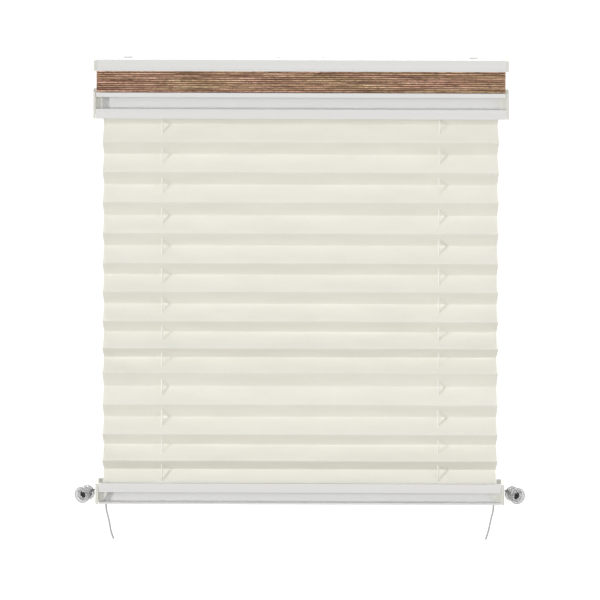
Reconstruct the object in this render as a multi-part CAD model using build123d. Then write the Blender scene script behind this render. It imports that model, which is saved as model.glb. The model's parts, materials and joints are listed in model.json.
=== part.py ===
from build123d import *
import math
import os

os.makedirs("parts", exist_ok=True)

# A two-fabric pleated blind with three rails. The upper fabric is folded up
# under the head rail and the lower one is let down to the bottom rail.
# Frame: origin in the middle of the head rail's top face, X along the rails,
# -Y to the front (the room side), +Z up. Millimetres.

# ---------------------------------------------------------------- dimensions
rail_depth = 30.0            # front to back, all three rails
wall = 1.4                   # wall of the aluminium sections
lip = 1.0                    # thickness of the inward lips that hold a strip
lip_gap = 20.8               # free width between two lips
edge_round = 0.6             # outer edges of the sections

head_half = 273.0            # half length of the head rail's section
head_height = 15.6
head_web = 1.6
head_face_step = 0.6         # the face stands back above the bottom bead
head_bead = 2.7              # height of the bead
head_lip_top = -9.4

middle_half = 273.0
middle_top = -45.0
middle_groove_top = -51.4    # finger groove of the middle rail
middle_groove_bottom = -67.3
middle_bottom = -80.7
middle_upper_lip_top = -47.0
middle_lower_lip_top = -73.2

bottom_half = 269.0
bottom_top = -580.8
bottom_lip_top = -588.0
bottom_groove_top = -593.4
bottom_groove_bottom = -607.0
bottom_bottom = -609.5

groove_depth = 11.0          # from the front face to the web behind a groove

strip_thickness = 1.2
strip_play = 0.3             # between a strip's edge and the rail's wall
strip_half_wide = 272.0
strip_half_narrow = 268.5

facet_width = 25.4           # from fold to fold, both fabrics
fabric_hole_radius = 2.5

night_thickness = 0.5
night_half = 272.5
night_facets = 24
night_fold_y = 12.4
night_fold_drop = 0.85       # height of one rounded fold in the folded stack
night_top = -10.8
night_bottom = -46.5
night_tab_top = -9.7
night_tab_bottom = -47.45
night_end_slant = 0.8

day_thickness = 0.35
day_half_front = 265.3
day_half_back = 261.8
day_first_valley = -92.9
day_first_ridge = -113.6
day_pitches = [41.4, 41.3, 42.4, 40.9, 39.1, 40.6, 36.9, 33.6, 44.3, 40.5, 36.2]
day_last_valley = -566.7
day_tab_top = -74.0
day_tab_bottom = -587.4
tab_half = 9.6               # half width of a fabric's end tab, in its lips

cord_radius = 0.9
tail_radius = 1.15           # the braid is fuller where it hangs slack
cord_bend = 5.4
cord_x = 184.7
cord_exit_x = 259.2
cord_gap = 0.15              # half of the gap where two lengths of cord meet
cord_level_head = -4.9       # level run inside the head rail
cord_level_bottom = -600.2   # level run inside the bottom rail
upper_cord_end = -46.5
lower_cord_end = -591.0

grommet_bore = 1.3
grommet_tube = 2.2
grommet_flange = 3.2
grommet_flange_thickness = 0.8
grommet_tail = 0.6           # how far the tube stands past the floor
grommet_play = 0.05

mount_hole_x = 230.0
mount_slot_radius = 2.5
mount_slot_length = 12.0

rivet_x = 30.0
rivet_radius = 1.6
rivet_head_radius = 2.6
spring_hook_radius = 2.15
spring_hook_reach = 4.4      # from a hook ring's centre to the coils
spring_wire_radius = 0.35
spring_leg_radius = 0.32
spring_outer_radius = 2.5
spring_inner_radius = 1.8
spring_length = 60.0
ferrule_length = 8.0
ferrule_radius = 1.7
ferrule_eye_radius = 1.6
ferrule_eye_offset = 2.6     # from the spring's outer hook to the ferrule's eye
guide_length = 12.0
guide_width = 12.0
guide_bore = 1.25

cap_clearance = 0.15         # between a cap's plugs and the section
cap_corner = 1.6
head_cap = 3.3
middle_cap = 3.7
bottom_cap = 4.4
cap_plug_length = 6.5
cap_block_length = 8.6       # the block that closes a finger groove's end
bottom_block_top_x = 256.7   # the bottom rail's blocks lean outward below
bottom_block_low_x = 262.6
block_setback = 5.0          # behind the rail's front face
cap_stand_off = 0.5          # gap between a rail's end and its cap's plate

spool_length = 19.0
spool_front_radius = 11.0
spool_rear_radius = 10.0
spool_hub_radius = 7.2
spool_flange = 2.6
spool_bore = 2.4
spool_counterbore = 5.9
spool_counterbore_depth = 7.0
spool_yaw = 28.0             # each spool faces outward by this angle
spool_rear_x = 282.9
spool_rear_y = 10.1
spool_z = -599.2

screw_shank = 2.1
screw_past_wall = 13.0
screw_head_radius = 4.8
screw_head_height = 2.8
screw_tip = 3.0
screw_slot_width = 1.1
screw_slot_length = 5.4
screw_slot_depth = 1.5

sides = {"left": -1, "right": 1}
outer_hook_x = rivet_x + 2 * spring_hook_reach + spring_length
ferrule_eye_x = outer_hook_x + ferrule_eye_offset
ferrule_x = ferrule_eye_x + ferrule_eye_radius
cord_exit_z = bottom_bottom - grommet_flange_thickness
half_depth = rail_depth / 2
inner_y = half_depth - wall
web_front = -half_depth + groove_depth
web_back = web_front + wall
lip_half = lip_gap / 2


# ---------------------------------------------------------------- helpers
def block(x_low, x_high, y_low, y_high, z_low, z_high):
    """A box given by its limits, in either order along X."""
    size = Box(abs(x_high - x_low), y_high - y_low, z_high - z_low)
    centre = ((x_low + x_high) / 2, (y_low + y_high) / 2, (z_low + z_high) / 2)
    return Pos(*centre) * size


def upright(x, y, radius, z_low, z_high):
    """An upright cylinder."""
    return Pos(x, y, (z_low + z_high) / 2) * Cylinder(radius, z_high - z_low)


def section(half_length, bars):
    """An extruded rail: the bars (y_low, y_high, z_low, z_high) of its section, joined."""
    walls = [block(-half_length, half_length, *bar) for bar in bars]
    return walls[0].fuse(*walls[1:]).clean()


def both_walls(y_low, y_high, z_low, z_high):
    """A bar of the section and its mirror image at the other wall."""
    return [(y_low, y_high, z_low, z_high), (-y_high, -y_low, z_low, z_high)]


def long_edges(rail, corners):
    """The edges along X that pass through the given (y, z) corners."""
    picked = []
    for edge in rail.edges().filter_by(Axis.X):
        centre = edge.center()
        for y, z in corners:
            if abs(centre.Y - y) < 0.01 and abs(centre.Z - z) < 0.01:
                picked.append(edge)
    return picked


def save(shape, name):
    export_step(shape, f"parts/{name}.step")


# ---------------------------------------------------------------- rails
def mount_slot(x):
    """One slotted screw hole through the head rail's top."""
    reach = mount_slot_length / 2 - mount_slot_radius
    slot = block(x - reach, x + reach, -mount_slot_radius, mount_slot_radius, -head_web - 1, 1)
    for end in (-reach, reach):
        slot = slot + upright(x + end, 0, mount_slot_radius, -head_web - 1, 1)
    return slot


def make_head_rail():
    """A channel that opens downward, with a bead along each bottom edge."""
    face = half_depth - head_face_step
    bars = [(-face, face, -head_web, 0)]
    bars += both_walls(-face, -face + wall, -head_height, 0)
    bars += both_walls(-half_depth, -face + wall, -head_height, -head_height + head_bead)
    bars += both_walls(-face + wall, -lip_half, head_lip_top - lip, head_lip_top)
    rail = section(head_half, bars)
    rounded = [(-face, 0), (face, 0), (-half_depth, -head_height), (half_depth, -head_height)]
    rounded += [(-half_depth, -head_height + head_bead), (half_depth, -head_height + head_bead)]
    rail = fillet(long_edges(rail, rounded), edge_round / 2)
    for side in sides.values():
        rail = rail - mount_slot(side * mount_hole_x)
        rail = rail - upright(side * rivet_x, 0, rivet_radius + grommet_play, -head_web - 1, 1)
    return rail


def make_middle_rail():
    """Two channels, one up and one down, with a finger groove and a closed box between."""
    bars = both_walls(-half_depth, -inner_y, middle_groove_top, middle_top)
    bars += both_walls(-inner_y, -lip_half, middle_upper_lip_top - lip, middle_upper_lip_top)
    bars += [(-half_depth, half_depth, middle_groove_top, middle_groove_top + wall)]
    bars += [(web_front, web_back, middle_groove_bottom, middle_groove_top)]
    bars += [(inner_y, half_depth, middle_groove_bottom, middle_groove_top)]
    bars += [(-half_depth, half_depth, middle_groove_bottom - wall, middle_groove_bottom)]
    bars += both_walls(-half_depth, -inner_y, middle_bottom, middle_groove_bottom)
    bars += both_walls(-inner_y, -lip_half, middle_lower_lip_top - lip, middle_lower_lip_top)
    rail = section(middle_half, bars)
    rounded = [(-half_depth, middle_groove_top), (-half_depth, middle_groove_bottom)]
    for y in (-half_depth, half_depth):
        rounded += [(y, middle_top), (y, middle_bottom)]
    rail = fillet(long_edges(rail, rounded), edge_round)
    for side in sides.values():
        hole = upright(side * cord_x, 0, grommet_tube + grommet_play, middle_bottom, middle_top)
        rail = rail - hole
    return rail


def make_bottom_rail():
    """A channel that opens upward over a finger groove and a closed box."""
    bars = both_walls(-half_depth, -inner_y, bottom_groove_top, bottom_top)
    bars += both_walls(-inner_y, -lip_half, bottom_lip_top - lip, bottom_lip_top)
    bars += [(-half_depth, half_depth, bottom_groove_top, bottom_groove_top + wall)]
    bars += [(web_front, web_back, bottom_groove_bottom, bottom_groove_top)]
    bars += [(inner_y, half_depth, bottom_groove_bottom, bottom_groove_top)]
    bars += [(-half_depth, half_depth, bottom_bottom, bottom_groove_bottom)]
    rail = section(bottom_half, bars)
    rounded = [(-half_depth, bottom_groove_top), (-half_depth, bottom_groove_bottom)]
    for y in (-half_depth, half_depth):
        rounded += [(y, bottom_top), (y, bottom_bottom)]
    rail = fillet(long_edges(rail, rounded), edge_round)
    hole_radius = grommet_tube + grommet_play
    for side in sides.values():
        rail = rail - upright(side * cord_x, 0, hole_radius, bottom_groove_top - 1, bottom_top)
        rail = rail - upright(side * cord_exit_x, 0, hole_radius, bottom_bottom - 1,
                              bottom_groove_bottom + 1)
    return rail


# ---------------------------------------------------------------- end caps
def cap_plate(side, rail_half, thickness, z_low, z_high, stand_off=0.0):
    """The plate of an end cap, with its outer face's edges rounded."""
    inner = side * (rail_half + stand_off)
    outer = side * (rail_half + thickness)
    plate = block(inner, outer, -half_depth, half_depth, z_low, z_high)
    plate = fillet(plate.edges().filter_by(Axis.X), cap_corner)
    outer_face = plate.faces().sort_by(Axis.X)[-1 if side > 0 else 0]
    return fillet(outer_face.edges(), cap_corner * 0.75)


def cap_plug(side, rail_half, y_low, y_high, z_low, z_high, stand_off=0.0):
    """A plug that fills one space of the section behind a cap's plate."""
    gap = cap_clearance
    inner = side * (rail_half - cap_plug_length)
    return block(inner, side * (rail_half + stand_off), y_low + gap, y_high - gap, z_low + gap, z_high - gap)


def make_head_cap(side):
    plate = cap_plate(side, head_half, head_cap, -head_height, 0)
    inside = half_depth - head_face_step - wall
    plug = cap_plug(side, head_half, -inside, inside, head_lip_top + strip_thickness, -head_web)
    return plate + plug


def make_middle_cap(side):
    """The plate, the block in the finger groove and the plug in the box behind it."""
    plate = cap_plate(side, middle_half, middle_cap, middle_bottom, middle_top, cap_stand_off)
    gap = cap_clearance
    filler = block(side * (middle_half - cap_block_length), side * (middle_half + cap_stand_off),
                   -half_depth + block_setback, web_front - gap,
                   middle_groove_bottom + gap, middle_groove_top - gap)
    plug = cap_plug(side, middle_half, web_back, inner_y, middle_groove_bottom, middle_groove_top,
                    cap_stand_off)
    return plate + filler + plug


def make_bottom_cap(side):
    """As the middle cap, with the block's inner end leaning outward below."""
    plate = cap_plate(side, bottom_half, bottom_cap, bottom_bottom, bottom_top, cap_stand_off)
    low = bottom_groove_bottom + cap_clearance
    high = bottom_groove_top - cap_clearance
    plate_x = side * (bottom_half + cap_stand_off)
    corners = [(plate_x, low), (side * bottom_block_low_x, low),
               (side * bottom_block_top_x, high), (plate_x, high)]
    outline = make_face(Plane.XZ * Polyline(*corners, close=True))
    front = -half_depth + block_setback
    thickness = web_front - cap_clearance - front
    filler = Pos(0, front, 0) * extrude(outline, thickness, dir=(0, 1, 0))
    plug = cap_plug(side, bottom_half, web_back, inner_y, bottom_groove_bottom, bottom_groove_top,
                    cap_stand_off)
    return plate + filler + plug


# ---------------------------------------------------------------- small rail fittings
def make_strip(half_length, z_low, inside):
    """The plastic strip that a fabric's end is glued to, held by the lips."""
    y_high = inside - strip_play
    strip = block(-half_length, half_length, -y_high, y_high, z_low, z_low + strip_thickness)
    for side in sides.values():
        strip = strip - upright(side * cord_x, 0, fabric_hole_radius, z_low - 1, z_low + 3)
    return strip


def make_grommet(x, floor, past, up):
    """An eyelet through a rail's floor; its flange is above the floor, or below if up is -1."""
    flange_end = floor + up * grommet_flange_thickness
    tube_end = past - up * grommet_tail
    flange = upright(x, 0, grommet_flange, min(floor, flange_end), max(floor, flange_end))
    tube = upright(x, 0, grommet_tube, min(flange_end, tube_end), max(flange_end, tube_end))
    eyelet = flange + tube
    eyelet = eyelet - upright(x, 0, grommet_bore, eyelet.bounding_box().min.Z - 1,
                              eyelet.bounding_box().max.Z + 1)
    rim = eyelet.edges().filter_by(GeomType.CIRCLE).filter_by(
        lambda edge: edge.radius < grommet_bore + 0.01)
    return fillet(rim, grommet_flange_thickness / 4)


def upper_cord_path(side):
    """Level from the spring's ferrule, round the guide and down to the middle rail."""
    start = side * (ferrule_x + ferrule_length)
    points = [(start, 0, cord_level_head), (side * cord_x, 0, cord_level_head),
              (side * cord_x, 0, upper_cord_end + cord_gap)]
    return FilletPolyline(*points, radius=cord_bend)


def make_guide(side):
    """The plastic block in the head rail that turns the cord downward."""
    floor = head_lip_top + strip_thickness + cap_clearance
    x = side * cord_x
    body = block(x - guide_length / 2, x + guide_length / 2, -guide_width / 2, guide_width / 2,
                 floor, -head_web - cap_clearance)
    bore = cord_tube(upper_cord_path(side), guide_bore)
    return body - bore


def make_rivet(side):
    """A flush rivet in the head rail's top, with a head below the spring's hook."""
    x = side * rivet_x
    shank = upright(x, 0, rivet_radius, head_lip_top + strip_thickness + 0.6, 0)
    head = upright(x, 0, rivet_head_radius, head_lip_top + strip_thickness + 0.2,
                   head_lip_top + strip_thickness + 1.0)
    return shank + head


def level_rod(x_a, x_b, y, radius):
    """A round rod along X at the level of the cord in the head rail."""
    rod = Rot(0, 90, 0) * Cylinder(radius, abs(x_b - x_a))
    return Pos((x_a + x_b) / 2, y, cord_level_head) * rod


def make_spring(side):
    """A tension spring: its close coils as a tube, with a hook ring at each end."""
    coil_start = side * (rivet_x + spring_hook_reach)
    coil_end = side * (outer_hook_x - spring_hook_reach)
    spring = level_rod(coil_start, coil_end, 0, spring_outer_radius)
    spring = spring - level_rod(2 * coil_start - coil_end, 2 * coil_end - coil_start, 0,
                                spring_inner_radius)
    for centre, coil_face in ((side * rivet_x, coil_start), (side * outer_hook_x, coil_end)):
        spring = spring + Pos(centre, 0, cord_level_head) * Torus(spring_hook_radius,
                                                                  spring_wire_radius)
        inside = coil_face + (coil_face - centre) * 0.1
        spring = spring + level_rod(centre, inside, -spring_hook_radius, spring_leg_radius)
    return spring


def make_ferrule(side):
    """The crimp on the cord's end, with an eye that links the spring's outer hook."""
    crimp = level_rod(side * ferrule_x, side * (ferrule_x + ferrule_length), 0, ferrule_radius)
    crimp = fillet(crimp.edges().filter_by(GeomType.CIRCLE), ferrule_radius / 3)
    eye = Rot(90, 0, 0) * Torus(ferrule_eye_radius, spring_wire_radius)
    return crimp + Pos(side * ferrule_eye_x, 0, cord_level_head) * eye


# ---------------------------------------------------------------- fabrics
def thick_line(points, thickness):
    """The closed outline of a folded line, half the thickness on each side of it."""
    normals = []
    for start, end in zip(points, points[1:]):
        step = Vector(*end) - Vector(*start)
        normals.append(Vector(-step.Y, step.X).normalized())
    near = []
    far = []
    for index, point in enumerate(points):
        before = normals[max(index - 1, 0)]
        after = normals[min(index, len(normals) - 1)]
        offset = (before + after) * (thickness / 2 / (1 + before.dot(after)))
        near.append((point[0] + offset.X, point[1] + offset.Y))
        far.append((point[0] - offset.X, point[1] - offset.Y))
    return near + far[::-1]


def pleated_sheet(folds, thickness, half_front, half_back):
    """A sheet folded along the (y, z) points, its ends slanting in towards the back."""
    outline = make_face(Plane.YZ * Polyline(*thick_line(folds, thickness), close=True))
    reach = max(half_front, half_back)
    sheet = extrude(outline, reach, both=True)
    slant = (half_front - half_back) / (2 * night_fold_y)
    wide = half_front + slant * (half_depth - night_fold_y)
    narrow = half_back - slant * (half_depth - night_fold_y)
    plan = Polyline((-wide, -half_depth), (wide, -half_depth), (narrow, half_depth),
                    (-narrow, half_depth), close=True)
    low = min(z for y, z in folds) - 1
    high = max(z for y, z in folds) + 1
    return sheet & Pos(0, 0, low) * extrude(make_face(plan), high - low)


def night_folds():
    """The folded stack of the upper fabric, from its top tab to its bottom tab."""
    step = (night_top - night_bottom) / night_facets
    drop = (step - night_fold_drop) / 2
    folds = [(tab_half, night_tab_top), (-tab_half, night_tab_top)]
    for index in range(night_facets):
        level = night_top - (index + 0.5) * step
        start = -night_fold_y if index % 2 == 0 else night_fold_y
        end = -start
        if index == 0:
            start = -tab_half
        if index == night_facets - 1:
            end = -tab_half
        folds += [(start, level + drop), (end, level - drop)]
    folds += [(-tab_half, night_tab_bottom), (tab_half, night_tab_bottom)]
    return folds


def pleat_depth(pitch):
    """Front-to-back depth of a pleat whose two facets together are this high."""
    return math.sqrt(facet_width ** 2 - (pitch / 2) ** 2)


def day_folds():
    """The open pleats of the lower fabric, from its top tab to its bottom tab."""
    ridges = [day_first_ridge]
    for pitch in day_pitches:
        ridges.append(ridges[-1] - pitch)
    depths = [pleat_depth(pitch) for pitch in day_pitches]
    depths = [depths[0]] + depths + [depths[-1]]
    folds = [(tab_half, day_tab_top), (-depths[0] / 2, day_tab_top)]
    folds.append((depths[0] / 2, day_first_valley))
    for index, ridge in enumerate(ridges):
        folds.append((-(depths[index] + depths[index + 1]) / 4, ridge))
        last = index == len(ridges) - 1
        valley = day_last_valley if last else (ridge + ridges[index + 1]) / 2
        folds.append((depths[index + 1] / 2, valley))
    folds += [(-depths[-1] / 4, day_tab_bottom), (tab_half, day_tab_bottom)]
    return folds


def make_night_fabric():
    fabric = pleated_sheet(night_folds(), night_thickness, night_half,
                           night_half - night_end_slant)
    for side in sides.values():
        fabric = fabric - upright(side * cord_x, 0, fabric_hole_radius, middle_top - 5, 0)
    return fabric


def make_day_fabric():
    """Each facet is punched square to itself where the cord goes through."""
    folds = day_folds()
    fabric = pleated_sheet(folds, day_thickness, day_half_front, day_half_back)
    punches = []
    for (y_a, z_a), (y_b, z_b) in zip(folds, folds[1:]):
        share = y_a / (y_a - y_b)
        level = z_a + share * (z_b - z_a)
        for side in sides.values():
            square = Plane(origin=(side * cord_x, 0, level), x_dir=(1, 0, 0),
                           z_dir=(0, z_b - z_a, y_a - y_b))
            punches.append(square * Cylinder(fabric_hole_radius, 6 * day_thickness))
    return fabric.cut(*punches)


# ---------------------------------------------------------------- cords
def cord_tube(path, radius):
    """A round tube along a path of straight runs and tangent arcs."""
    start = Plane(origin=path @ 0, z_dir=path % 0)
    return sweep(start * Circle(radius), path=path)


def check_tube(name, tube, path, radius):
    """Compare a tube's volume with its section times its length."""
    expected = math.pi * radius ** 2 * path.length
    print(f"{name}: length {path.length:.1f} mm, volume {tube.volume / expected:.4f} of expected")


def bend_radii(points):
    """Arc radii for a free cord: 0.45 of the shorter run over the tangent of half the turn."""
    radii = []
    for before, corner, after in zip(points, points[1:], points[2:]):
        run_in = Vector(*corner) - Vector(*before)
        run_out = Vector(*after) - Vector(*corner)
        half_turn = math.radians(run_in.get_angle(run_out) / 2)
        shorter = min(run_in.length, run_out.length)
        radii.append(0.45 * shorter / math.tan(half_turn))
    return radii


# The tails' routes: inward from the exit, towards the back, and down from it.
tail_routes = {
    "left": [(0.0, 0.0, 0.0), (0.0, 0.0, -9.6), (2.9, -1.0, -19.6),
             (5.2, -1.8, -29.9), (6.6, -1.2, -40.6), (10.2, 0.4, -50.6)],
    "right": [(0.0, 0.0, 0.0), (0.0, 0.0, -9.5), (2.9, 0.9, -19.7),
              (4.9, 1.5, -30.1), (7.0, 0.9, -40.4), (10.4, -0.4, -50.1)],
}


def tail_points(name):
    """A tail's route in the blind's frame."""
    side = sides[name]
    points = []
    for inward, back, down in tail_routes[name]:
        points.append((side * (cord_exit_x - inward), back, cord_exit_z + down))
    return points


def make_tail(name):
    """A free tail of cord below the bottom rail."""
    points = tail_points(name)
    radii = bend_radii(points)
    print(f"cord_tail_{name}: radii", [round(radius, 1) for radius in radii])
    path = FilletPolyline(*points, radius=radii)
    tube = cord_tube(path, tail_radius)
    check_tube(f"cord_tail_{name}", tube, path, tail_radius)
    return tube


def make_bottom_cord(side):
    """From the bottom rail's grommet, outward inside the rail and down to its exit."""
    points = [(side * cord_x, 0, lower_cord_end - cord_gap),
              (side * cord_x, 0, cord_level_bottom),
              (side * cord_exit_x, 0, cord_level_bottom),
              (side * cord_exit_x, 0, cord_exit_z)]
    path = FilletPolyline(*points, radius=cord_bend)
    tube = cord_tube(path, cord_radius)
    check_tube("bottom rail cord", tube, path, cord_radius)
    return tube


# ---------------------------------------------------------------- tie-down spools
def spool_plane(side):
    """The plane of a spool's rear face, its normal along the spool to the front."""
    yaw = math.radians(spool_yaw)
    return Plane(origin=(side * spool_rear_x, spool_rear_y, spool_z), x_dir=(0, 0, 1),
                 z_dir=(side * math.sin(yaw), -math.cos(yaw), 0))


def make_spool(side):
    """A turned spool with two flanges, bored for a recessed screw."""
    seat = spool_length - spool_counterbore_depth
    outline = [(spool_bore, 0), (spool_rear_radius, 0), (spool_rear_radius, spool_flange),
               (spool_hub_radius, spool_flange), (spool_hub_radius, spool_length - spool_flange),
               (spool_front_radius, spool_length - spool_flange),
               (spool_front_radius, spool_length), (spool_counterbore, spool_length),
               (spool_counterbore, seat), (spool_bore, seat)]
    face = make_face(Plane.XZ * Polyline(*outline, close=True))
    spool = revolve(face, Axis.Z)
    circles = spool.edges().filter_by(GeomType.CIRCLE)
    rims = circles.filter_by(lambda edge: edge.radius > spool_rear_radius - 0.01)
    spool = fillet(rims, spool_flange * 0.4)
    circles = spool.edges().filter_by(GeomType.CIRCLE)
    roots = circles.filter_by(lambda edge: abs(edge.radius - spool_hub_radius) < 0.01)
    spool = fillet(roots, 1.2)
    return spool_plane(side) * spool


def make_screw(side):
    """A pan-head screw with a crossed slot, seated in the spool."""
    seat = spool_length - spool_counterbore_depth
    top = seat + screw_head_height
    head = upright(0, 0, screw_head_radius, seat, top)
    head = fillet(head.faces().sort_by(Axis.Z)[-1].edges(), screw_head_height * 0.6)
    for length, width in ((screw_slot_length, screw_slot_width),
                          (screw_slot_width, screw_slot_length)):
        head = head - block(-length / 2, length / 2, -width / 2, width / 2,
                            top - screw_slot_depth, top + 1)
    shank = upright(0, 0, screw_shank, -screw_past_wall, seat)
    tip_centre = -screw_past_wall - screw_tip / 2
    tip = Pos(0, 0, tip_centre) * Cone(0.3, screw_shank, screw_tip)
    return spool_plane(side) * (head + shank + tip)


# ---------------------------------------------------------------- the assembly
save(make_head_rail(), "head_rail")
save(make_middle_rail(), "middle_rail")
save(make_bottom_rail(), "bottom_rail")

head_inside = half_depth - head_face_step - wall
save(make_strip(strip_half_wide, head_lip_top, head_inside), "head_rail_strip")
upper_strip_low = middle_upper_lip_top - lip - strip_thickness
save(make_strip(strip_half_wide, upper_strip_low, inner_y), "middle_rail_upper_strip")
save(make_strip(strip_half_narrow, middle_lower_lip_top, inner_y), "middle_rail_lower_strip")
bottom_strip_low = bottom_lip_top - lip - strip_thickness
save(make_strip(strip_half_narrow, bottom_strip_low, inner_y), "bottom_rail_strip")

save(make_night_fabric(), "upper_pleated_fabric")
save(make_day_fabric(), "lower_pleated_fabric")

for name, side in sides.items():
    save(make_head_cap(side), f"head_rail_cap_{name}")
    save(make_middle_cap(side), f"middle_rail_cap_{name}")
    save(make_bottom_cap(side), f"bottom_rail_cap_{name}")

    save(make_grommet(side * cord_x, middle_groove_top + wall, middle_groove_top, 1),
         f"middle_rail_upper_grommet_{name}")
    save(make_grommet(side * cord_x, middle_groove_bottom - wall, middle_groove_bottom, -1),
         f"middle_rail_lower_grommet_{name}")
    save(make_grommet(side * cord_x, bottom_groove_top + wall, bottom_groove_top, 1),
         f"bottom_rail_grommet_{name}")
    save(make_grommet(side * cord_exit_x, bottom_bottom, bottom_groove_bottom, -1),
         f"cord_exit_bush_{name}")

    save(make_rivet(side), f"spring_rivet_{name}")
    save(make_spring(side), f"tension_spring_{name}")
    save(make_ferrule(side), f"cord_ferrule_{name}")
    save(make_guide(side), f"cord_guide_{name}")

    upper_path = upper_cord_path(side)
    upper_tube = cord_tube(upper_path, cord_radius)
    check_tube(f"upper_cord_{name}", upper_tube, upper_path, cord_radius)
    save(upper_tube, f"upper_cord_{name}")
    save(upright(side * cord_x, 0, cord_radius, lower_cord_end + cord_gap,
                 upper_cord_end - cord_gap), f"lower_cord_{name}")
    save(make_bottom_cord(side), f"bottom_rail_cord_{name}")
    save(make_tail(name), f"cord_tail_{name}")

    save(make_spool(side), f"tie_down_spool_{name}")
    save(make_screw(side), f"tie_down_screw_{name}")
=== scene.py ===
import bisect
import json
import math
import random

import bmesh
import bpy
from mathutils import Matrix, Vector, noise


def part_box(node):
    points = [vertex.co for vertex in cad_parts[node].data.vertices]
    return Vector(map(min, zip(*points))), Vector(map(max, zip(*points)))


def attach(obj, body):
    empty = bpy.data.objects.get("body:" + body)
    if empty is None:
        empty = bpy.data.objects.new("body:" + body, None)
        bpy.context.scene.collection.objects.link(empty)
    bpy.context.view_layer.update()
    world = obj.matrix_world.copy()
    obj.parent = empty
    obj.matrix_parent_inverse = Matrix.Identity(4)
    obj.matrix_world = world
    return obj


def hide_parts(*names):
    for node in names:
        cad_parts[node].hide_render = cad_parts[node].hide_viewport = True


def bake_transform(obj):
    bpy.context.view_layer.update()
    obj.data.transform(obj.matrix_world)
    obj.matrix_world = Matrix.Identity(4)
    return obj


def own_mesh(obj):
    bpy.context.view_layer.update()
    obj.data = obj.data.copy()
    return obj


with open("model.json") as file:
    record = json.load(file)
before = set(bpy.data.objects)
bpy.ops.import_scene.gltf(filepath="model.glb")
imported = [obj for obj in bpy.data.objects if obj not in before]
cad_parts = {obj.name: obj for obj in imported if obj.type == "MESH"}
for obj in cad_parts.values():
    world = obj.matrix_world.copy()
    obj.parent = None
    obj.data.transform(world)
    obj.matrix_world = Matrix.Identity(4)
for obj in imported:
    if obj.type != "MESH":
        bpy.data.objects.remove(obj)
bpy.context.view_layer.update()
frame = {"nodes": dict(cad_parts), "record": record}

# The looks of a two-fabric pleated blind: three white rails, a brown woven
# stack under the head rail and cream pleats let down to the bottom rail.
# Metres, in the blind's own frame: X along the rails, -Y to the room, +Z up.

# ---------------------------------------------------------------- places and sizes
head_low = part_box("head_rail")[0]
day_low, day_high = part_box("lower_pleated_fabric")
night_low, night_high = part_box("upper_pleated_fabric")
lower_cord_low, lower_cord_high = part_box("lower_cord_left")

sides = {"left": -1, "right": 1}
spool_mounts = {mount["name"]: mount for mount in frame["record"]["mounts"]}

camera_tilt = math.radians(13.5)     # the camera looks down by this angle
camera_roll = math.radians(0.18)
camera_distance = 30.0
picture_width = 0.8004               # width that the picture takes in at the blind
picture_centre = Vector((-0.0005, head_low.y, -0.3281))
floor_level = -1.35

cord_radius = 0.0009
tail_radius = 0.00115                # the tails are drawn a little thicker
cord_x = 0.1847
cord_exit_x = 0.2592
cord_bend = 0.0054                   # radius where a cord turns down in the head rail
braid_lay = 0.0042                   # length of one turn of the braid
# The tails' routes: inward from the exit, towards the back, and up from it.
tail_routes = {
    "left": [(0.0, 0.0, 0.0), (0.0, 0.0, -0.0096), (0.0029, -0.0010, -0.0196),
             (0.0052, -0.0018, -0.0299), (0.0066, -0.0012, -0.0406), (0.0102, 0.0004, -0.0506)],
    "right": [(0.0, 0.0, 0.0), (0.0, 0.0, -0.0095), (0.0029, 0.0009, -0.0197),
              (0.0049, 0.0015, -0.0301), (0.0070, 0.0009, -0.0404), (0.0104, -0.0004, -0.0501)],
}

facet_width = 0.0254
tab_half = 0.0096
day_hole = 0.00115                   # radius; the cream facets' holes close round the cord
night_hole = 0.0020
pleat_half_depth = 0.0124            # the fabrics' edges lean in over this half depth

night_thickness = 0.0005
night_loft = 0.0008                  # the woven cloth's thickness with its slubs
night_facets = 24
night_fold_y = 0.0122
night_fold_drop = 0.00085
night_top = -0.0108
night_bottom = -0.0465
night_slant = 0.0008                 # how much narrower the sheet is at its back folds
night_reach = 0.0003                 # how far each fold's rounding reaches along a facet
night_wave = 0.0003

day_thickness = 0.00035
day_first_valley = -0.0929
day_first_ridge = -0.1136
day_pitches = [0.0414, 0.0413, 0.0424, 0.0409, 0.0391, 0.0406, 0.0369, 0.0336, 0.0443, 0.0405, 0.0362]
day_last_valley = -0.5667
day_slant = 0.0035
day_reach = 0.0006
day_wave = 0.0005

spring_wire = 0.00035
spring_pitch = 0.00071
spring_radius = 0.0025
hook_radius = 0.00215
hook_reach = 0.0044                  # from a hook's middle to the first close coil

screw_pitch = 0.0018
screw_tip = -0.0160
shank_radius = 0.0021
thread_root = 0.0015


# ---------------------------------------------------------------- tools
def only(obj):
    """Leave one object selected and active."""
    bpy.ops.object.select_all(action="DESELECT")
    obj.select_set(True)
    bpy.context.view_layer.objects.active = obj


def placed(name, data):
    """A new object in the scene that holds the data."""
    obj = bpy.data.objects.new(name, data)
    bpy.context.scene.collection.objects.link(obj)
    return obj


def named(obj, name):
    obj.name = name
    obj.data.name = name
    return obj


def settle(obj):
    """Put an object's place, turn and scale into its mesh."""
    only(obj)
    bpy.ops.object.transform_apply(location=True, rotation=True, scale=True)
    return obj


def apply_all(obj):
    """Apply an object's modifiers in their order."""
    only(obj)
    for modifier in list(obj.modifiers):
        bpy.ops.object.modifier_apply(modifier=modifier.name)
    return obj


def shade(obj, degrees=35):
    only(obj)
    bpy.ops.object.shade_smooth_by_angle(angle=math.radians(degrees))
    return obj


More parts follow.
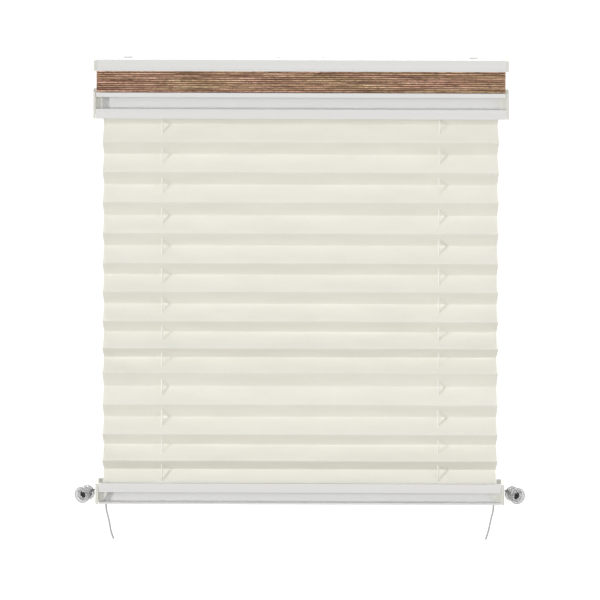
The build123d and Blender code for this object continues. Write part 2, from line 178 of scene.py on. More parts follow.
def turned(name, outline, steps=72):
    """A piece turned on a lathe: a (radius, height) outline swept round Z."""
    bpy.ops.object.select_all(action="DESELECT")
    bpy.ops.mesh.primitive_plane_add(size=0.001)
    obj = named(bpy.context.object, name)
    bpy.ops.object.mode_set(mode="EDIT")
    bpy.ops.mesh.select_all(action="SELECT")
    bpy.ops.mesh.merge(type="CENTER")
    bpy.ops.transform.translate(value=(outline[0][0], 0, outline[0][1]))
    for (r_a, z_a), (r_b, z_b) in zip(outline, outline[1:]):
        bpy.ops.mesh.extrude_region_move(
            TRANSFORM_OT_translate={"value": (r_b - r_a, 0, z_b - z_a)})
    bpy.ops.mesh.select_all(action="SELECT")
    bpy.ops.mesh.spin(steps=steps, angle=2 * math.pi, center=(0, 0, 0), axis=(0, 0, 1))
    bpy.ops.mesh.select_all(action="SELECT")
    bpy.ops.mesh.remove_doubles(threshold=1e-6)
    bpy.ops.mesh.normals_make_consistent(inside=False)
    bpy.ops.object.mode_set(mode="OBJECT")
    return obj


def arc(centre, radius, start, end, steps):
    """Points of a rounded corner in a turned outline, angles in degrees."""
    points = []
    for step in range(steps + 1):
        angle = math.radians(start + (end - start) * step / steps)
        points.append((centre[0] + radius * math.cos(angle), centre[1] + radius * math.sin(angle)))
    return points


def cut(obj, cutters):
    """Cut the joined cutters out of a piece and remove them."""
    bpy.ops.object.select_all(action="DESELECT")
    for cutter in cutters:
        cutter.select_set(True)
    bpy.context.view_layer.objects.active = cutters[0]
    if len(cutters) > 1:
        bpy.ops.object.join()
    cutter = bpy.context.view_layer.objects.active
    settle(cutter)
    only(obj)
    modifier = obj.modifiers.new("cut", "BOOLEAN")
    modifier.operation = "DIFFERENCE"
    modifier.solver = "EXACT"
    modifier.object = cutter
    bpy.ops.object.modifier_apply(modifier=modifier.name)
    bpy.data.objects.remove(cutter)
    return obj


# ---------------------------------------------------------------- camera, light and floor
def make_camera():
    data = bpy.data.cameras.new("camera")
    camera = placed("camera", data)
    data.sensor_width = 36.0
    data.lens = data.sensor_width * camera_distance / picture_width
    data.clip_start = 1.0
    data.clip_end = 200.0
    back = Vector((0, -math.cos(camera_tilt), math.sin(camera_tilt)))
    turn = Matrix.Rotation(math.pi / 2 - camera_tilt, 4, "X") @ Matrix.Rotation(camera_roll, 4, "Z")
    camera.matrix_world = Matrix.Translation(picture_centre + camera_distance * back) @ turn
    bpy.context.scene.camera = camera


def make_sun(name, azimuth, height, strength, softness):
    """A distant lamp; azimuth 0 is straight in front, positive to the right."""
    data = bpy.data.lights.new(name, "SUN")
    data.energy = strength
    data.angle = math.radians(softness)
    lamp = placed(name, data)
    az, el = math.radians(azimuth), math.radians(height)
    towards = Vector((math.sin(az) * math.cos(el), -math.cos(az) * math.cos(el), math.sin(el)))
    lamp.rotation_mode = "QUATERNION"
    lamp.rotation_quaternion = towards.to_track_quat("Z", "Y")


def make_world():
    """A white studio, brighter at eye level than overhead."""
    world = bpy.data.worlds.new("studio")
    bpy.context.scene.world = world
    world.use_nodes = True
    nodes, links = world.node_tree.nodes, world.node_tree.links
    background = nodes["Background"]
    place = nodes.new("ShaderNodeTexCoord")
    split = nodes.new("ShaderNodeSeparateXYZ")
    height = nodes.new("ShaderNodeMath")
    height.operation = "ABSOLUTE"
    ramp = nodes.new("ShaderNodeValToRGB")
    ramp.color_ramp.elements[0].position = 0.06
    ramp.color_ramp.elements[0].color = (0.85, 0.85, 0.85, 1)
    ramp.color_ramp.elements[1].position = 0.25
    ramp.color_ramp.elements[1].color = (0.40, 0.40, 0.40, 1)
    links.new(place.outputs["Generated"], split.inputs[0])
    links.new(split.outputs["Z"], height.inputs[0])
    links.new(height.outputs[0], ramp.inputs["Fac"])
    links.new(ramp.outputs["Color"], background.inputs["Color"])


def make_floor():
    """A pale floor, lit up white some way behind the blind."""
    bpy.ops.object.select_all(action="DESELECT")
    bpy.ops.mesh.primitive_plane_add(size=80, location=(0, 0, floor_level))
    floor = settle(named(bpy.context.object, "floor"))
    material, nodes, links, shader = new_finish("floor_paint", (0.355, 0.342, 0.325), 0.9)
    place = nodes.new("ShaderNodeTexCoord")
    split = nodes.new("ShaderNodeSeparateXYZ")
    glow = nodes.new("ShaderNodeMapRange")
    glow.interpolation_type = "SMOOTHSTEP"
    glow.inputs["From Min"].default_value = 1.0
    glow.inputs["From Max"].default_value = 2.4
    glow.inputs["To Max"].default_value = 0.62
    links.new(place.outputs["Object"], split.inputs[0])
    links.new(split.outputs["Y"], glow.inputs["Value"])
    links.new(glow.outputs["Result"], shader.inputs["Emission Strength"])
    shader.inputs["Emission Color"].default_value = (1, 1, 1, 1)
    floor.data.materials.append(material)


# ---------------------------------------------------------------- finishes
def new_finish(name, colour, roughness):
    """A material with its main shader set; returns it with its nodes, links and shader."""
    material = bpy.data.materials.new(name)
    material.use_nodes = True
    nodes, links = material.node_tree.nodes, material.node_tree.links
    shader = nodes["Principled BSDF"]
    shader.inputs["Base Color"].default_value = (*colour, 1)
    shader.inputs["Roughness"].default_value = roughness
    return material, nodes, links, shader


def add_noise(nodes, links, vector, scale, detail=3.0):
    """A noise texture; vector is the socket that places it."""
    texture = nodes.new("ShaderNodeTexNoise")
    texture.inputs["Scale"].default_value = scale
    texture.inputs["Detail"].default_value = detail
    links.new(vector, texture.inputs["Vector"])
    return texture


def stretched(nodes, links, source, stretch):
    """A place socket, stretched along the axes."""
    mapping = nodes.new("ShaderNodeMapping")
    mapping.inputs["Scale"].default_value = stretch
    links.new(source, mapping.inputs["Vector"])
    return mapping.outputs["Vector"]


def object_place(nodes, links, stretch=(1, 1, 1)):
    """Object coordinates, stretched along the axes."""
    place = nodes.new("ShaderNodeTexCoord")
    return stretched(nodes, links, place.outputs["Object"], stretch)


def sheet_place(nodes, links, stretch=(1, 1, 1)):
    """A fabric's own flat coordinates in metres: along the rails, and along the sheet."""
    place = nodes.new("ShaderNodeUVMap")
    place.uv_map = "flat"
    return stretched(nodes, links, place.outputs["UV"], stretch)


def ramp_of(nodes, links, value, stops):
    """A colour ramp with (place, colour) stops."""
    ramp = nodes.new("ShaderNodeValToRGB")
    elements = ramp.color_ramp.elements
    while len(elements) < len(stops):
        elements.new(1.0)
    for element, (place, colour) in zip(elements, stops):
        element.position = place
        element.color = (*colour, 1)
    links.new(value, ramp.inputs["Fac"])
    return ramp.outputs["Color"]


def mixed(nodes, links, share, first, second, kind="MIX"):
    """Two colours mixed; share is a number or a socket."""
    mix = nodes.new("ShaderNodeMix")
    mix.data_type = "RGBA"
    mix.blend_type = kind
    if isinstance(share, (int, float)):
        mix.inputs["Factor"].default_value = share
    else:
        links.new(share, mix.inputs["Factor"])
    for socket, colour in ((mix.inputs[6], first), (mix.inputs[7], second)):
        if isinstance(colour, tuple):
            socket.default_value = (*colour, 1)
        else:
            links.new(colour, socket)
    return mix.outputs[2]


def add_bump(nodes, links, shader, height, strength, distance):
    bump = nodes.new("ShaderNodeBump")
    bump.inputs["Strength"].default_value = strength
    bump.inputs["Distance"].default_value = distance
    links.new(height, bump.inputs["Height"])
    links.new(bump.outputs["Normal"], shader.inputs["Normal"])


def finish_rail():
    """White powder coat on extruded aluminium: faint draw lines and a fine orange peel."""
    material, nodes, links, shader = new_finish("white_powder_coat", (0.72, 0.72, 0.71), 0.42)
    drawn = add_noise(nodes, links, object_place(nodes, links, (0.8, 260, 260)), 1.0, 2.0)
    colour = ramp_of(nodes, links, drawn.outputs["Fac"],
                     [(0.30, (0.70, 0.705, 0.70)), (0.70, (0.735, 0.735, 0.725))])
    links.new(colour, shader.inputs["Base Color"])
    peel = add_noise(nodes, links, object_place(nodes, links), 1600, 2.0)
    add_bump(nodes, links, shader, peel.outputs["Fac"], 0.12, 0.0002)
    return material


def finish_moulded(name, colour, roughness, stain):
    """Moulded plastic: soft flow marks and a fine spark-eroded skin."""
    material, nodes, links, shader = new_finish(name, colour, roughness)
    flow = add_noise(nodes, links, object_place(nodes, links), 60, 3.0)
    darker = tuple(channel * tint for channel, tint in zip(colour, stain))
    shaded = ramp_of(nodes, links, flow.outputs["Fac"], [(0.35, colour), (0.75, darker)])
    links.new(shaded, shader.inputs["Base Color"])
    skin = add_noise(nodes, links, object_place(nodes, links), 3500, 1.0)
    add_bump(nodes, links, shader, skin.outputs["Fac"], 0.1, 0.0001)
    return material


def finish_metal(name, colour, roughness, scratch):
    """Plated metal with fine turning marks."""
    material, nodes, links, shader = new_finish(name, colour, roughness)
    shader.inputs["Metallic"].default_value = 1.0
    marks = add_noise(nodes, links, object_place(nodes, links, scratch), 1.0, 2.0)
    rough = nodes.new("ShaderNodeMapRange")
    rough.inputs["To Min"].default_value = roughness * 0.7
    rough.inputs["To Max"].default_value = roughness * 1.4
    links.new(marks.outputs["Fac"], rough.inputs["Value"])
    links.new(rough.outputs["Result"], shader.inputs["Roughness"])
    add_bump(nodes, links, shader, marks.outputs["Fac"], 0.08, 0.00005)
    return material


def finish_clear():
    """Milky clear moulded plastic with faint flow waves."""
    material, nodes, links, shader = new_finish("clear_plastic", (0.70, 0.71, 0.72), 0.08)
    shader.inputs["Transmission Weight"].default_value = 0.74
    shader.inputs["IOR"].default_value = 1.49
    waves = add_noise(nodes, links, object_place(nodes, links), 260, 1.0)
    add_bump(nodes, links, shader, waves.outputs["Fac"], 0.25, 0.0002)
    return material


def finish_cord(name, light, dark):
    """Braided polyester cord: a fine random darker speckle, partly uneven fibre tone and partly
    painted shade for the grooves between the strands.
    """
    material, nodes, links, shader = new_finish(name, light, 0.75)
    fibres = add_noise(nodes, links, object_place(nodes, links, (1, 1, 0.35)), 5200, 2.0)
    # The darker speckle is partly painted shade for the grooves between the strands, spread at random.
    colour = ramp_of(nodes, links, fibres.outputs["Fac"], [(0.30, dark), (0.60, light)])
    links.new(colour, shader.inputs["Base Color"])
    shader.inputs["Sheen Weight"].default_value = 0.2
    add_bump(nodes, links, shader, fibres.outputs["Fac"], 0.2, 0.0001)
    return material


def finish_cream():
    """Pressed cream polyester: fine threads both ways and faint cloudy shade."""
    material, nodes, links, shader = new_finish("cream_polyester", (0.82, 0.81, 0.74), 0.85)
    cloud = add_noise(nodes, links, sheet_place(nodes, links, (12, 40, 1)), 1.0, 3.0)
    base = ramp_of(nodes, links, cloud.outputs["Fac"],
                   [(0.30, (0.80, 0.79, 0.72)), (0.70, (0.84, 0.83, 0.76))])
    across = add_noise(nodes, links, sheet_place(nodes, links, (240, 5200, 1)), 1.0, 2.0)
    along = add_noise(nodes, links, sheet_place(nodes, links, (5200, 240, 1)), 1.0, 2.0)
    threads = mixed(nodes, links, 0.5, across.outputs["Color"], along.outputs["Color"])
    level = nodes.new("ShaderNodeRGBToBW")
    links.new(threads, level.inputs["Color"])
    tint = ramp_of(nodes, links, level.outputs["Val"],
                   [(0.35, (0.93, 0.93, 0.92)), (0.65, (1.0, 1.0, 1.0))])
    links.new(mixed(nodes, links, 1.0, base, tint, "MULTIPLY"), shader.inputs["Base Color"])
    shader.inputs["Sheen Weight"].default_value = 0.1
    add_bump(nodes, links, shader, level.outputs["Val"], 0.25, 0.00012)
    return material


def finish_brown():
    """Coarse woven grass-like cloth: long streaks of tan, brown, mauve and olive."""
    material, nodes, links, shader = new_finish("brown_weave", (0.52, 0.37, 0.27), 0.8)
    streak = add_noise(nodes, links, sheet_place(nodes, links, (17, 420, 1)), 1.0, 2.0)
    weft = ramp_of(nodes, links, streak.outputs["Fac"],
                   [(0.34, (0.24, 0.138, 0.092)), (0.43, (0.42, 0.260, 0.178)),
                    (0.50, (0.55, 0.355, 0.248)), (0.57, (0.64, 0.425, 0.300)),
                    (0.66, (0.78, 0.560, 0.410))])
    hue = add_noise(nodes, links, sheet_place(nodes, links, (9, 150, 1)), 1.0, 2.0)
    cast = ramp_of(nodes, links, hue.outputs["Fac"],
                   [(0.38, (0.96, 1.02, 0.86)), (0.47, (1.0, 1.0, 0.93)),
                    (0.54, (1.0, 0.96, 0.95)), (0.63, (1.03, 0.90, 0.96))])
    coloured = mixed(nodes, links, 1.0, weft, cast, "MULTIPLY")
    slubs = add_noise(nodes, links, sheet_place(nodes, links, (130, 520, 1)), 1.0, 2.0)
    broken = ramp_of(nodes, links, slubs.outputs["Fac"],
                     [(0.36, (0.60, 0.58, 0.57)), (0.50, (1.0, 1.0, 1.0)), (0.64, (1.20, 1.20, 1.18))])
    uneven = mixed(nodes, links, 1.0, coloured, broken, "MULTIPLY")
    knots = add_noise(nodes, links, sheet_place(nodes, links, (520, 900, 1)), 1.0, 1.0)
    dots = ramp_of(nodes, links, knots.outputs["Fac"],
                   [(0.36, (0.70, 0.69, 0.68)), (0.50, (1.0, 1.0, 1.0)), (0.68, (1.20, 1.20, 1.18))])
    links.new(mixed(nodes, links, 1.0, uneven, dots, "MULTIPLY"), shader.inputs["Base Color"])
    ribs = nodes.new("ShaderNodeTexWave")
    ribs.wave_type = "BANDS"
    ribs.bands_direction = "Y"
    ribs.inputs["Scale"].default_value = 1.0
    ribs.inputs["Distortion"].default_value = 1.5
    links.new(sheet_place(nodes, links, (6, 150, 1)), ribs.inputs["Vector"])
    add_bump(nodes, links, shader, ribs.outputs["Fac"], 0.5, 0.0003)
    return material


# ---------------------------------------------------------------- cords
def cord_line(points):
    """Points along the smooth line that a cord's route gives."""
    curve = bpy.data.curves.new("cord_line", "CURVE")
    curve.dimensions = "3D"
    curve.resolution_u = 40
    spline = curve.splines.new("NURBS")
    spline.points.add(len(points) - 1)
    for control, point in zip(spline.points, points):
        control.co = (*point, 1.0)
    spline.order_u = 3
    spline.use_endpoint_u = True
    holder = placed("cord_line", curve)
    bpy.context.view_layer.update()
    line = bpy.data.meshes.new_from_object(holder)
    path = [vertex.co.copy() for vertex in line.vertices]
    bpy.data.objects.remove(holder)
    bpy.data.meshes.remove(line)
    return path


def even_points(path, step):
    """Points spaced evenly along a line."""
    lengths = [0.0]
    for start, end in zip(path, path[1:]):
        lengths.append(lengths[-1] + (end - start).length)
    count = max(2, round(lengths[-1] / step))
    points = []
    index = 0
    for number in range(count + 1):
        wanted = lengths[-1] * number / count
        while index < len(path) - 2 and lengths[index + 1] < wanted:
            index += 1
        share = (wanted - lengths[index]) / (lengths[index + 1] - lengths[index])
        points.append(path[index].lerp(path[index + 1], min(share, 1.0)))
    return points


def braid_relief(turn, along):
    """Relief of an eight-strand braid, 0 in the grooves and 1 on the strands."""
    lay = 2 * math.pi * along / braid_lay
    one = abs(math.sin(2 * turn + lay))
    other = abs(math.sin(2 * turn - lay))
    return max(one, other)


def cord_mesh(name, path, thickness, material, step=0.0003, ring=20):
    """A braided cord along a line, closed at both ends."""
    points = even_points(path, step)
    shape = bmesh.new()
    rings = []
    across = Vector((1, 0, 0))
    along = 0.0
    for index, point in enumerate(points):
        before, after = points[max(index - 1, 0)], points[min(index + 1, len(points) - 1)]
        run = (after - before).normalized()
        across = (across - run * across.dot(run)).normalized()
        over = run.cross(across)
        loop = []
        for corner in range(ring):
            turn = 2 * math.pi * corner / ring
            radius = thickness * (0.92 + 0.08 * braid_relief(turn, along))
            loop.append(shape.verts.new(point + radius * (math.cos(turn) * across
                                                          + math.sin(turn) * over)))
        rings.append(loop)
        along += step
    for near, far in zip(rings, rings[1:]):
        for corner in range(ring):
            after = (corner + 1) % ring
            shape.faces.new((near[corner], near[after], far[after], far[corner]))
    shape.faces.new(rings[0][::-1])
    shape.faces.new(rings[-1])
    mesh = bpy.data.meshes.new(name)
    shape.to_mesh(mesh)
    shape.free()
    obj = placed(name, mesh)
    mesh.materials.append(material)
    shade(obj, 60)
    return obj


def make_tail(name, material):
    """The free tail of a cord, cut off square below the bottom rail."""
    side = sides[name]
    exit_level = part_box(f"cord_tail_{name}")[1].z
    route = [Vector((side * (cord_exit_x - inward), back, exit_level + up))
             for inward, back, up in tail_routes[name]]
    path = cord_line(route)
    tail = cord_mesh(f"tail_{name}", path, tail_radius, material)
    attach(tail, "bottom")
    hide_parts(f"cord_tail_{name}")


def make_lower_cord(name, material):
    """The cord from the middle rail through the cream pleats to the bottom rail."""
    x = sides[name] * cord_x
    path = [Vector((x, 0, lower_cord_high.z)), Vector((x, 0, lower_cord_low.z))]
    cord = cord_mesh(f"pleat_cord_{name}", path, cord_radius, material, 0.0005, 14)
    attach(cord, "middle")
    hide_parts(f"lower_cord_{name}")
    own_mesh(cord)


def make_upper_cord(name, material):
    """The cord from its ferrule in the head rail down through the brown stack."""
    low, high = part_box(f"upper_cord_{name}")
    level = high.z - cord_radius
    x = sides[name] * cord_x
    inner = low.x if sides[name] > 0 else high.x
    path = [Vector((inner, 0, level)), Vector((x - sides[name] * cord_bend, 0, level))]
    for step in range(1, 9):
        angle = math.pi / 2 * step / 8
        path.append(Vector((x - sides[name] * cord_bend * (1 - math.sin(angle)), 0,
                            level - cord_bend * (1 - math.cos(angle)))))
    path.append(Vector((x, 0, low.z)))
    cord = cord_mesh(f"stack_cord_{name}", path, cord_radius, material, 0.0005, 14)
    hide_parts(f"upper_cord_{name}")
    top = level - cord_bend
    shares = [min(1.0, max(0.0, (top - vertex.co.z) / (top - low.z)))
              for vertex in cord.data.vertices]
    stretch_between(cord, shares)


def stretch_between(piece, shares):
    """Put a piece's place into its mesh; the shares are not used."""
    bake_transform(piece)


# ---------------------------------------------------------------- pleated fabrics
def rounded_folds(folds, reach, inner):
    """The fold line with each fold rounded and each facet divided: (y, z, fold share)."""
    rows = []
    last = len(folds) - 1
    for index, fold in enumerate(folds):
        here = Vector(fold)
        if index in (0, last):
            rows.append((here, 1.0))
        else:
            before = (Vector(folds[index - 1]) - here).normalized()
            after = (Vector(folds[index + 1]) - here).normalized()
            near, far = here + before * reach, here + after * reach
            rows += [(near, 1.0), ((near + 2 * here + far) / 4, 1.0), (far, 1.0)]
        if index < last:
            start = rows[-1][0]
            end = Vector(folds[index + 1])
            if index + 1 < last:
                end = end + (here - end).normalized() * reach
            for part in range(1, inner + 1):
                share = part / (inner + 1)
                rows.append((start.lerp(end, share), 1.0 - math.sin(math.pi * share)))
    return rows


def pleated_mesh(name, folds, reach, inner, half_front, slant, columns, thickness, wave):
    """A pleated sheet with rounded folds, faintly wavy facets and its own flat coordinates."""
    rows = rounded_folds(folds, reach, inner)
    shape = bmesh.new()
    flat = shape.loops.layers.uv.new("flat")
    grid = []
    run = [0.0]
    for (before, _), (after, _) in zip(rows, rows[1:]):
        run.append(run[-1] + (after - before).length)
    for number, (point, crease) in enumerate(rows):
        before = rows[max(number - 1, 0)][0]
        after = rows[min(number + 1, len(rows) - 1)][0]
        step = (after - before).normalized()
        normal = Vector((-step.y, step.x))
        half = half_front - slant * (point.x + pleat_half_depth) / (2 * pleat_half_depth)
        line = []
        for column in range(columns + 1):
            x = half * (2 * column / columns - 1)
            drift = noise.noise(Vector((x * 9, run[number] * 30, 3.1))) * wave
            ripple = noise.noise(Vector((x * 26, run[number] * 60, 8.7))) * wave * 0.4
            shift = normal * ((drift + ripple) * (1.0 - 0.6 * crease))
            line.append(shape.verts.new((x, point.x + shift.x, point.y + shift.y)))
        grid.append(line)
    for number, (upper, lower) in enumerate(zip(grid, grid[1:])):
        for column in range(columns):
            corners = (upper[column], lower[column], lower[column + 1], upper[column + 1])
            face = shape.faces.new(corners)
            lengths = (run[number], run[number + 1], run[number + 1], run[number])
            for loop, length in zip(face.loops, lengths):
                loop[flat].uv = (loop.vert.co.x, length)
    mesh = bpy.data.meshes.new(name)
    shape.to_mesh(mesh)
    shape.free()
    sheet = placed(name, mesh)
    only(sheet)
    wall = sheet.modifiers.new("thickness", "SOLIDIFY")
    wall.thickness = thickness
    wall.offset = 0.0
    wall.use_even_offset = False
    apply_all(sheet)
    return sheet, rows, run


def day_folds():
    """The open pleats of the cream fabric as (y, z), from its top tab to its bottom tab."""
    ridges = [day_first_ridge]
    for pitch in day_pitches:
        ridges.append(ridges[-1] - pitch)
    depths = [math.sqrt(facet_width ** 2 - (pitch / 2) ** 2) for pitch in day_pitches]
    depths = [depths[0]] + depths + [depths[-1]]
    top = day_high.z - day_thickness / 2
    bottom = day_low.z + day_thickness / 2
    folds = [(tab_half, top), (-depths[0] / 2, top), (depths[0] / 2, day_first_valley)]
    for index, ridge in enumerate(ridges):
        folds.append((-(depths[index] + depths[index + 1]) / 4, ridge))
        last = index == len(ridges) - 1
        valley = day_last_valley if last else (ridge + ridges[index + 1]) / 2
        folds.append((depths[index + 1] / 2, valley))
    return folds + [(-depths[-1] / 4, bottom), (tab_half, bottom)]


def night_folds():
    """The folded stack of the brown fabric as (y, z), each fold a little out of line."""
    chance = random.Random(11)
    step = (night_top - night_bottom) / night_facets
    drop = (step - night_fold_drop) / 2
    top = night_high.z - night_thickness / 2
    bottom = night_low.z + night_thickness / 2
    folds = [(tab_half, top), (-tab_half, top)]
    for index in range(night_facets):
        level = night_top - (index + 0.5) * step
        start = -night_fold_y if index % 2 == 0 else night_fold_y
        end = -start
        if index == 0:
            start = -tab_half
        if index == night_facets - 1:
            end = -tab_half
        out = 1 + chance.uniform(-0.03, 0.012)
        folds += [(start * out, level + drop), (end * out, level - drop)]
    return folds + [(-tab_half, bottom), (tab_half, bottom)]


def punch(x, z, radius, depth, tilt):
    """A round punch on a cord's line, leaning about X."""
    bpy.ops.object.select_all(action="DESELECT")
    bpy.ops.mesh.primitive_cylinder_add(vertices=20, radius=radius, depth=depth, calc_uvs=False,
                                        location=(x, 0, z), rotation=(tilt, 0, 0))
    return bpy.context.object


def make_cream_pleats(material):
    """The cream fabric, each facet punched where the cords run through."""
    folds = day_folds()
    pleats, _, run = pleated_mesh("cream_pleats", folds, day_reach, 5, day_high.x, day_slant,
                                  120, day_thickness, day_wave)
    punches = []
    for (y_a, z_a), (y_b, z_b) in zip(folds, folds[1:]):
        level = z_a + y_a / (y_a - y_b) * (z_b - z_a)
        tilt = math.atan2(z_b - z_a, y_b - y_a)
        for side in sides.values():
            punches.append(punch(side * cord_x, level, day_hole, 0.004, tilt))
    cut(pleats, punches)
    pleats.data.materials.append(material)
    shade(pleats, 50)
    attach(pleats, "middle")
    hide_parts("lower_pleated_fabric")
    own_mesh(pleats)


def opening_shares(sheet, rows, run):
    """Each point's share of the middle rail's travel, counted along the facets and not the tabs.

    A hole's wall has no flat coordinates of its own, so a point takes the largest share it is given.
    """
    across = [0.0]
    for (before, _), (after, _) in zip(rows, rows[1:]):
        across.append(across[-1] + abs(after.x - before.x))
    first, last = 2 * tab_half, across[-1] - 2 * tab_half
    flat = sheet.data.uv_layers["flat"].data
    shares = [0.0] * len(sheet.data.vertices)
    for loop in sheet.data.loops:
        length = min(flat[loop.index].uv.y, run[-1])
        row = max(1, bisect.bisect_left(run, length))
        part = (length - run[row - 1]) / (run[row] - run[row - 1])
        reached = across[row - 1] + part * (across[row] - across[row - 1])
        share = min(1.0, (reached - first) / (last - first))
        shares[loop.vertex_index] = max(shares[loop.vertex_index], share)
    return shares


def make_brown_stack(material):
    """The brown fabric, folded up under the head rail."""
    stack, rows, run = pleated_mesh("brown_stack", night_folds(), night_reach, 3,
                                    night_high.x - 0.0002, night_slant, 150, night_loft,
                                    night_wave)
    level = (night_high.z + night_low.z) / 2
    height = night_high.z - night_low.z
    punches = [punch(side * cord_x, level, night_hole, height * 1.2, 0)
               for side in sides.values()]
    cut(stack, punches)
    stack.data.materials.append(material)
    shade(stack, 60)
    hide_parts("upper_pleated_fabric")
    stretch_between(stack, opening_shares(stack, rows, run))


# ---------------------------------------------------------------- spools, screws and springs
def stand_at_mount(piece, name):
    """Turn a piece made along Z so that it stands out from its spool's screw hole."""
    mount = spool_mounts[f"spool_screw_{name}"]
    outward = -Vector(mount["axis"])
    turn = outward.to_track_quat("Z", "Y").to_matrix().to_4x4()
    piece.matrix_world = Matrix.Translation(mount["pos_m"]) @ turn
    return settle(piece)


def spool_outline():
    """Rear flange, hub, front flange with two raised rings, and the stepped bore."""
    outline = [(0.0024, 0.0), (0.0090, 0.0)]
    outline += arc((0.0090, 0.0010), 0.0010, -90, 0, 5)
    outline += arc((0.0090, 0.0016), 0.0010, 0, 90, 5)
    outline += arc((0.0084, 0.0038), 0.0012, -90, -180, 5)
    outline += arc((0.0084, 0.0152), 0.0012, 180, 90, 5)
    outline += arc((0.0100, 0.0174), 0.0010, -90, 0, 5)
    outline += arc((0.0100, 0.0180), 0.0010, 0, 90, 5)
    outline += [(0.0094, 0.0190), (0.0092, 0.0186), (0.0078, 0.0186), (0.0076, 0.0190)]
    outline += arc((0.0064, 0.0185), 0.0005, 90, 180, 4)
    outline += [(0.0059, 0.0120), (0.0024, 0.0120), (0.0024, 0.0)]
    return outline


def make_spool(name, material):
    """A clear spool that the cord's tail is wound on, made along Z from its rear face."""
    spool = turned(f"spool_{name}", spool_outline(), 72)
    spool.data.materials.append(material)
    shade(stand_at_mount(spool, name), 30)
    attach(spool, "head")
    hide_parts(f"tie_down_spool_{name}")


def thread_shank(screw, low, high, root):
    """Raise a thread on the part of a turned screw between two heights."""
    for vertex in screw.data.vertices:
        point = vertex.co
        radius = math.hypot(point.x, point.y)
        if low < point.z < high and radius < shank_radius + 0.0002:
            turn = math.atan2(point.y, point.x) / (2 * math.pi)
            phase = (point.z / screw_pitch + turn) % 1.0
            fade = min(1.0, (point.z - low) / 0.001, (high - point.z) / 0.001)
            ridge = max(0.0, 1.0 - abs(phase - 0.5) * 4.0) * fade
            wanted = root + (radius - root) * ridge
            point.x *= wanted / radius
            point.y *= wanted / radius


def make_screw(name, material):
    """A pan-head screw with a crossed slot and a coarse thread."""
    outline = [(0.0, screw_tip)]
    count = 90
    for index in range(count + 1):
        height = -0.0157 + index * (0.0157 + 0.0115) / count
        taper = min(1.0, 0.15 + 0.85 * (height - screw_tip) / 0.0030)
        outline.append((shank_radius * taper, height))
    outline += [(shank_radius, 0.0120), (0.0045, 0.0120)]
    outline += arc((0.0045, 0.0123), 0.0003, -90, 0, 3)
    outline += arc((0.0030, 0.0130), 0.0018, 0, 80, 8)
    outline += [(0.0, 0.0148)]
    screw = turned(f"screw_{name}", outline, 36)
    thread_shank(screw, screw_tip, 0.0085, thread_root)
    for length, width in ((0.0054, 0.0011), (0.0011, 0.0054)):
        bpy.ops.object.select_all(action="DESELECT")
        bpy.ops.mesh.primitive_cube_add(size=1, location=(0, 0, 0.0144))
        bar = bpy.context.object
        bar.scale = (length, width, 0.0022)
        cut(screw, [settle(bar)])
    screw.data.materials.append(material)
    shade(stand_at_mount(screw, name), 30)
    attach(screw, "head")
    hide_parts(f"tie_down_screw_{name}")


def spring_points(side, low, high, level):
    """A tension spring's wire: a hook ring, close coils and a second hook ring."""
    coil = spring_radius - spring_wire
    start, end = low + hook_radius + spring_wire, high - hook_radius - spring_wire
    first, last = start + hook_reach, end - hook_reach
    points = []
    for step in range(14):
        angle = math.radians(-60 - 300 * step / 13)
        points.append((start - hook_radius * math.cos(angle + math.pi),
                       hook_radius * math.sin(angle), level))
    turns = round((last - first) / spring_pitch)
    steps = turns * 14
    for step in range(steps + 1):
        angle = 2 * math.pi * step / 14
        x = first + (last - first) * step / steps
        points.append((x, coil * math.cos(angle), level + coil * math.sin(angle)))
    for step in range(14):
        angle = math.radians(120 + 300 * step / 13)
        points.append((end + hook_radius * math.cos(angle), hook_radius * math.sin(angle), level))
    return [(side * x, y, z) for x, y, z in points]


def make_spring(name, material):
    """The tension spring that keeps a cord taut, wound from wire."""
    low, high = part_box(f"tension_spring_{name}")
    side = sides[name]
    inner, outer = sorted((abs(low.x), abs(high.x)))
    level = (low.z + high.z) / 2
    curve = bpy.data.curves.new(f"spring_{name}", "CURVE")
    curve.dimensions = "3D"
    curve.bevel_depth = 0.00034
    curve.bevel_resolution = 1
    curve.use_fill_caps = True
    points = spring_points(side, inner, outer, level)
    spline = curve.splines.new("POLY")
    spline.points.add(len(points) - 1)
    for control, point in zip(spline.points, points):
        control.co = (*point, 1.0)
    spring = placed(f"spring_{name}", curve)
    only(spring)
    bpy.ops.object.convert(target="MESH")
    spring = bpy.context.object
    spring.data.materials.clear()
    spring.data.materials.append(material)
    shade(spring, 60)
    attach(spring, "head")
    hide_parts(f"tension_spring_{name}")


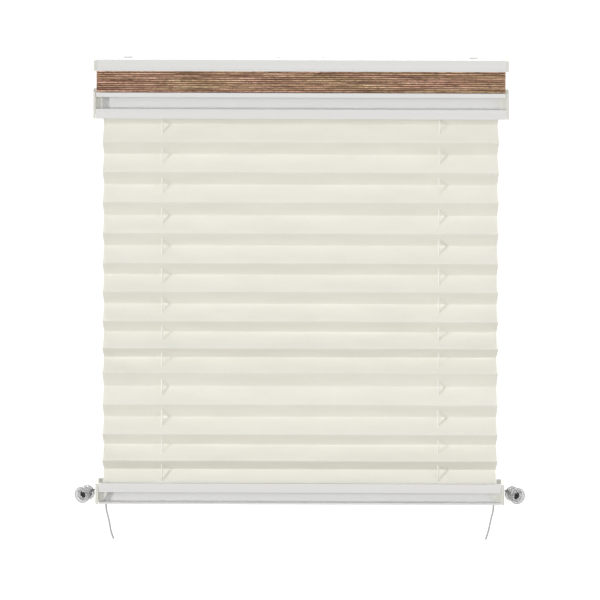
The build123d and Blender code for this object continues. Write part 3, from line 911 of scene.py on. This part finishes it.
# ---------------------------------------------------------------- pieces kept from the frame
def paint(material, *starts):
    """Give a finish to each shown CAD node whose name starts with one of the words."""
    for name, node in frame["nodes"].items():
        if name.startswith(starts) and not node.hide_render:
            for held in node.material_slots:
                held.material = material


make_camera()
cord_finish = finish_cord("braided_cord", (0.88, 0.87, 0.83), (0.70, 0.70, 0.67))
# The tails are the same cord as in the pleats, drawn in a grey copy of its finish: painted shade below
# the bottom rail.
painted_shade_tail_finish = finish_cord("cord_with_painted_shade", (0.46, 0.47, 0.47), (0.34, 0.35, 0.35))
for name in sides:
    make_tail(name, painted_shade_tail_finish)
    make_lower_cord(name, cord_finish)
    make_upper_cord(name, cord_finish)

make_world()
make_floor()
make_sun("front_light", 0, 32, 0.38, 30)
make_sun("ceiling_light", 180, 78, 3.2, 12)
make_sun("left_light", -57, 6, 1.6, 3)
make_sun("right_light", 50, 14, 0.55, 6)

make_cream_pleats(finish_cream())
make_brown_stack(finish_brown())

clear = finish_clear()
chrome = finish_metal("dark_chrome", (0.10, 0.10, 0.105), 0.12, (900, 900, 40))
steel = finish_metal("zinc_plated_steel", (0.55, 0.55, 0.56), 0.32, (400, 400, 400))
for name in sides:
    make_spool(name, clear)
    make_screw(name, chrome)
    make_spring(name, steel)

caps = finish_moulded("warm_white_plastic", (0.70, 0.70, 0.655), 0.40, (0.95, 0.96, 0.92))
strips = finish_moulded("natural_strip_plastic", (0.70, 0.70, 0.66), 0.50, (0.93, 0.93, 0.91))
eyelets = finish_moulded("eyelet_plastic", (0.74, 0.74, 0.72), 0.25, (0.95, 0.95, 0.95))
paint(caps, "head_rail_cap", "middle_rail_cap", "bottom_rail_cap")
paint(strips, "head_rail_strip", "middle_rail_upper_strip", "middle_rail_lower_strip",
      "bottom_rail_strip")
paint(eyelets, "middle_rail_upper_grommet", "middle_rail_lower_grommet", "bottom_rail_grommet",
      "cord_exit_bush", "cord_guide")
paint(steel, "spring_rivet", "cord_ferrule")
paint(cord_finish, "bottom_rail_cord")
rail_finish = finish_rail()
for name in ("head_rail", "middle_rail", "bottom_rail"):
    for held in frame["nodes"][name].material_slots:
        held.material = rail_finish

bpy.context.scene.view_settings.view_transform = "Standard"
